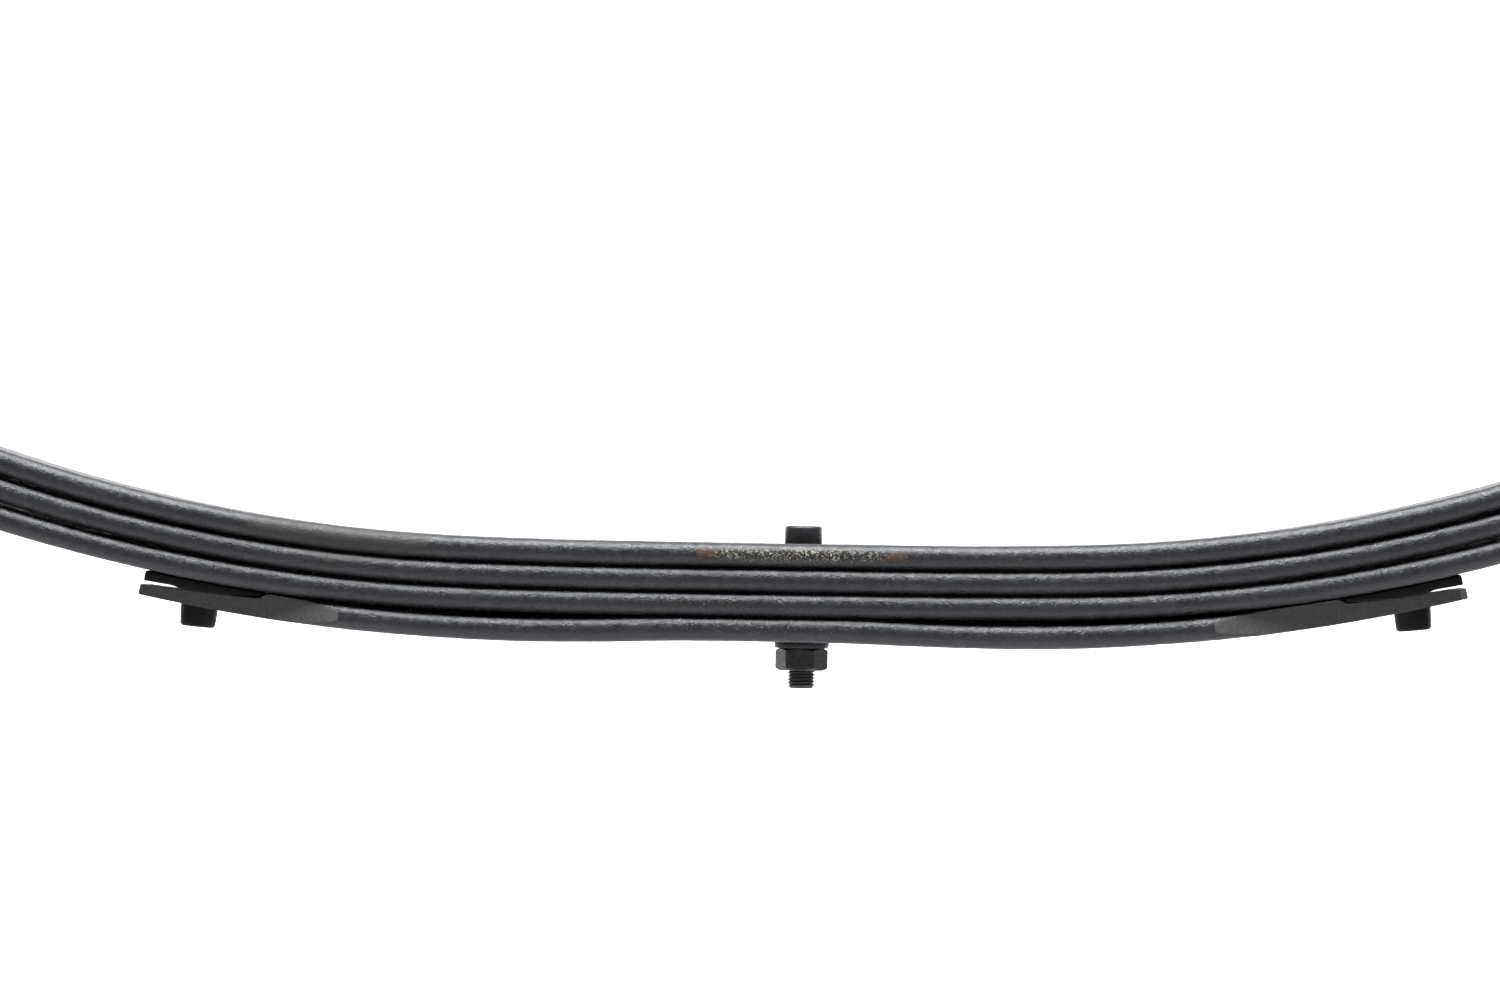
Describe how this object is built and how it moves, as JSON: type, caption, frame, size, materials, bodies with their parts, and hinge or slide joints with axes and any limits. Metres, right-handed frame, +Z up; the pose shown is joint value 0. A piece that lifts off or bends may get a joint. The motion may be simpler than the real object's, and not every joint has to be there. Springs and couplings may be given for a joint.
{
  "type": "leaf spring",
  "caption": "Semi-elliptic leaf spring with upturned rubber-bushed eyes, shorter leaves with rubber tip pads below, rebound clips, and a centre bolt whose head locates the axle on top.",
  "frame": {"origin": "on the centre bolt's axis, at the main leaf's top face, where the axle's spring seat rests", "axes": "+X along the leaves to the rear eye, +Y across the leaves, +Z up out of the seat, along the centre bolt and towards the axle"},
  "size_m": [1.1264, 0.0874, 0.2448],
  "materials": {
    "painted_spring_steel": "satin black paint over scaly rolled flat, worn to rust and cream specks",
    "blackened_steel": "black oxide, oiled",
    "pad_rubber": "moulded matte rubber",
    "bush_rubber": "moulded matte rubber",
    "sleeve_steel": "drawn steel tube, lightly oiled",
    "painted_clip_steel": "satin black paint",
    "zinc_steel": "zinc plated, dulled"
  },
  "bodies": {
    "leaf_pack": {"main_leaf": "painted_spring_steel", "second_leaf": "painted_spring_steel", "third_leaf": "painted_spring_steel", "fourth_leaf": "painted_spring_steel", "centre_bolt": "blackened_steel", "centre_washer": "blackened_steel", "centre_nut": "blackened_steel", "front_fourth_leaf_pad": "pad_rubber", "rear_fourth_leaf_pad": "pad_rubber"},
    "front_arm": {"front_second_leaf_pad": "pad_rubber", "front_third_leaf_pad": "pad_rubber", "front_eye_bush_left": "bush_rubber", "front_eye_bush_right": "bush_rubber", "front_clip_strap": "painted_clip_steel", "front_clip_rivet": "painted_clip_steel", "front_clip_spacer": "zinc_steel", "front_clip_bolt": "zinc_steel", "front_clip_nut": "zinc_steel"},
    "rear_arm": {"rear_second_leaf_pad": "pad_rubber", "rear_third_leaf_pad": "pad_rubber", "rear_eye_bush_left": "bush_rubber", "rear_eye_bush_right": "bush_rubber", "rear_clip_strap": "painted_clip_steel", "rear_clip_rivet": "painted_clip_steel", "rear_clip_spacer": "zinc_steel", "rear_clip_bolt": "zinc_steel", "rear_clip_nut": "zinc_steel"},
    "front_sleeve": {"front_eye_sleeve": "sleeve_steel"},
    "rear_sleeve": {"rear_eye_sleeve": "sleeve_steel"}
  },
  "joints": [
    {"name": "front_arm_flex", "type": "hinge", "parent": "leaf_pack", "child": "front_arm", "pos_m": [-0.17, 0, -0.016], "axis": [0, -1, 0], "range_deg": [-2, 16], "stiffness_Nm_per_rad": 6700, "deforming": ["main_leaf", "second_leaf", "third_leaf", "fourth_leaf", "front_fourth_leaf_pad"]},
    {"name": "rear_arm_flex", "type": "hinge", "parent": "leaf_pack", "child": "rear_arm", "pos_m": [0.17, 0, -0.016], "axis": [0, 1, 0], "range_deg": [-2, 16], "stiffness_Nm_per_rad": 6700, "deforming": ["main_leaf", "second_leaf", "third_leaf", "fourth_leaf", "rear_fourth_leaf_pad"]},
    {"name": "front_sleeve_twist", "type": "hinge", "parent": "front_arm", "child": "front_sleeve", "pos_m": [-0.55074, 0, 0.16514], "axis": [0, 1, 0], "range_deg": [-20, 20], "stiffness_Nm_per_rad": 20},
    {"name": "rear_sleeve_twist", "type": "hinge", "parent": "rear_arm", "child": "rear_sleeve", "pos_m": [0.52274, 0, 0.16514], "axis": [0, 1, 0], "range_deg": [-20, 20], "stiffness_Nm_per_rad": 20}
  ]
}
